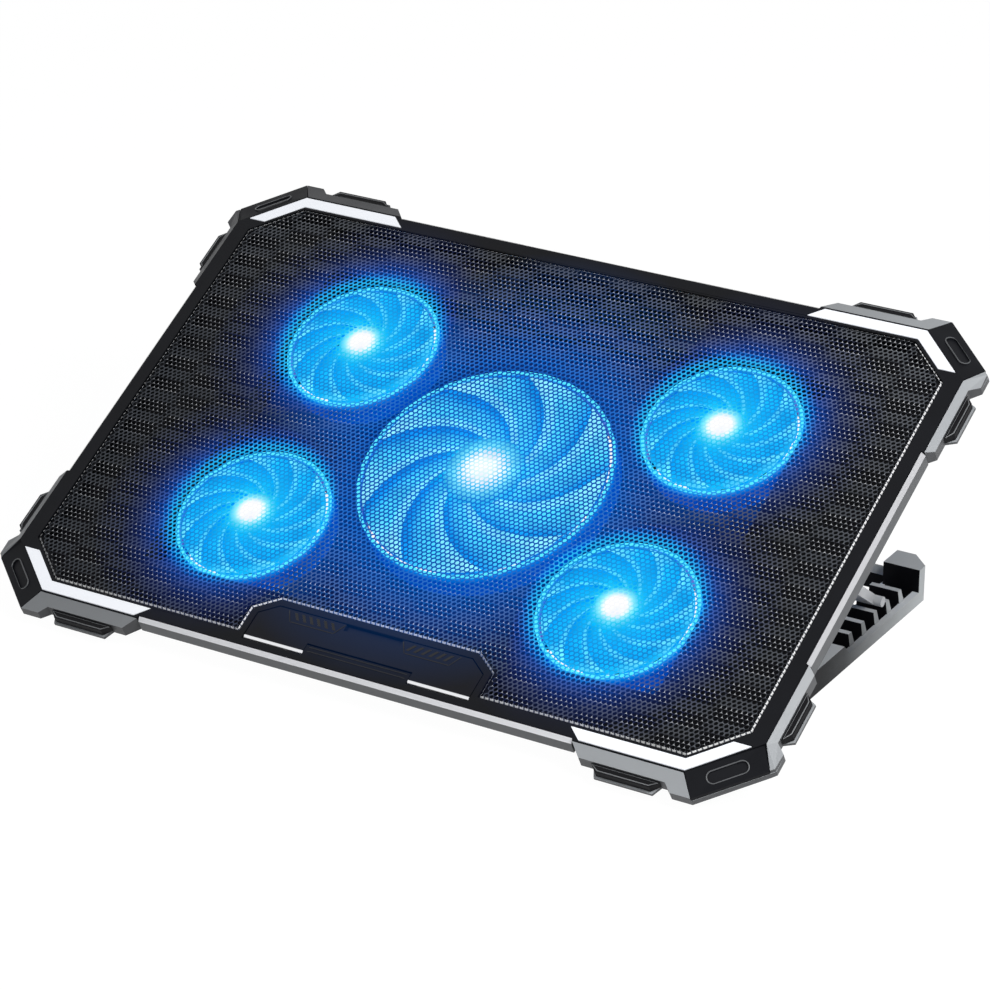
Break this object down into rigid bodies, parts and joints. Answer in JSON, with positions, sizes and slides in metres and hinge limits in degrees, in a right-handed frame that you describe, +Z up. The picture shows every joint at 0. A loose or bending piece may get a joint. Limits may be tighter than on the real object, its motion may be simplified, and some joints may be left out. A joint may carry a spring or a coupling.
{
  "type": "laptop cooling pad",
  "caption": "Slanted laptop cooling pad with a perforated top over lit fans, guarded corners, a flip-up front stopper and a folding notched stand.",
  "frame": {"origin": "middle of the footprint on the table, under the stand's rubber feet", "axes": "+X to the user's right, +Y to the raised rear edge, +Z up"},
  "size_m": [0.412, 0.249, 0.1413],
  "materials": {
    "black_plastic": "satin black",
    "grey_plastic": "satin grey",
    "dark_grey_plastic": "matte dark grey",
    "white_strip": "smooth white",
    "black_steel": "black paint on perforated steel",
    "blue_clear_plastic": "clear plastic lit blue",
    "steel": "bright",
    "rubber": "matte black",
    "board": "green solder mask"
  },
  "bodies": {
    "stand": {"hinge_pin_left": "steel", "hinge_pin_right": "steel", "rubber_foot_front_left": "rubber", "rubber_foot_front_right": "rubber", "rubber_foot_rear_left": "rubber", "rubber_foot_rear_right": "rubber", "stand_bar_front": "dark_grey_plastic", "stand_bar_rear": "dark_grey_plastic", "stand_rail_left": "dark_grey_plastic", "stand_rail_right": "dark_grey_plastic"},
    "pad": {"control_board": "board", "corner_guard_front_left": "grey_plastic", "corner_guard_front_right": "grey_plastic", "corner_guard_rear_left": "grey_plastic", "corner_guard_rear_right": "grey_plastic", "fan_motor_centre": "dark_grey_plastic", "fan_motor_front_left": "dark_grey_plastic", "fan_motor_front_right": "dark_grey_plastic", "fan_motor_rear_left": "dark_grey_plastic", "fan_motor_rear_right": "dark_grey_plastic", "fan_ring_centre": "blue_clear_plastic", "fan_ring_front_left": "blue_clear_plastic", "fan_ring_front_right": "blue_clear_plastic", "fan_ring_rear_left": "blue_clear_plastic", "fan_ring_rear_right": "blue_clear_plastic", "leg_pin_left": "steel", "leg_pin_right": "steel", "light_strip_front_left": "white_strip", "light_strip_front_right": "white_strip", "light_strip_rear_left": "white_strip", "light_strip_rear_right": "white_strip", "lower_shell": "dark_grey_plastic", "mesh_grille": "black_steel", "stopper_pin": "steel", "tab_long_front_left": "black_plastic", "tab_long_front_right": "black_plastic", "tab_long_rear_left": "black_plastic", "tab_long_rear_right": "black_plastic", "tab_short_front_left": "black_plastic", "tab_short_front_right": "black_plastic", "tab_short_rear_left": "black_plastic", "tab_short_rear_right": "black_plastic", "top_frame": "black_plastic", "trim_rail_front": "grey_plastic", "trim_rail_left": "grey_plastic", "trim_rail_rear": "grey_plastic", "trim_rail_right": "grey_plastic", "usb_socket_left": "steel", "usb_socket_right": "steel"},
    "stopper": {"stopper": "black_plastic"},
    "left_leg": {"leg_left": "grey_plastic"},
    "right_leg": {"leg_right": "grey_plastic"},
    "button": {"power_button": "black_plastic"},
    "fan_centre": {"fan_rotor_centre": "blue_clear_plastic"},
    "fan_front_left": {"fan_rotor_front_left": "blue_clear_plastic"},
    "fan_front_right": {"fan_rotor_front_right": "blue_clear_plastic"},
    "fan_rear_left": {"fan_rotor_rear_left": "blue_clear_plastic"},
    "fan_rear_right": {"fan_rotor_rear_right": "blue_clear_plastic"}
  },
  "joints": [
    {"name": "pad_tilt", "type": "hinge", "parent": "stand", "child": "pad", "pos_m": [0, -0.09243, 0.01191], "axis": [1, 0, 0], "range_deg": [-28.28, 0]},
    {"name": "left_leg_fold", "type": "hinge", "parent": "pad", "child": "left_leg", "pos_m": [0, 0.00235, 0.0679], "axis": [1, 0, 0], "range_deg": [0, 63.8]},
    {"name": "right_leg_fold", "type": "hinge", "parent": "pad", "child": "right_leg", "pos_m": [0, 0.00235, 0.0679], "axis": [1, 0, 0], "range_deg": [0, 63.8]},
    {"name": "stopper_flip", "type": "hinge", "parent": "pad", "child": "stopper", "pos_m": [0, -0.1098, 0.01824], "axis": [1, 0, 0], "range_deg": [0, 95]},
    {"name": "fan_centre_spin", "type": "hinge", "parent": "pad", "child": "fan_centre", "pos_m": [0, 0.00254, 0.06755], "axis": [0, -0.4738, 0.8806], "continuous": true},
    {"name": "fan_front_left_spin", "type": "hinge", "parent": "pad", "child": "fan_front_left", "pos_m": [-0.0975, -0.04528, 0.04183], "axis": [0, -0.4738, 0.8806], "continuous": true},
    {"name": "fan_front_right_spin", "type": "hinge", "parent": "pad", "child": "fan_front_right", "pos_m": [0.0975, -0.04528, 0.04183], "axis": [0, -0.4738, 0.8806], "continuous": true},
    {"name": "fan_rear_left_spin", "type": "hinge", "parent": "pad", "child": "fan_rear_left", "pos_m": [-0.0975, 0.05036, 0.09328], "axis": [0, -0.4738, 0.8806], "continuous": true},
    {"name": "fan_rear_right_spin", "type": "hinge", "parent": "pad", "child": "fan_rear_right", "pos_m": [0.0975, 0.05036, 0.09328], "axis": [0, -0.4738, 0.8806], "continuous": true},
    {"name": "button_press", "type": "slide", "parent": "pad", "child": "button", "axis": [0, -0.8806, -0.4738], "range_m": [0, 0.001], "stiffness_N_per_m": 150}
  ],
  "couplings": [
    {"joint": "left_leg_fold", "follows": "pad_tilt", "ratio": -2.256},
    {"joint": "right_leg_fold", "follows": "pad_tilt", "ratio": -2.256}
  ]
}
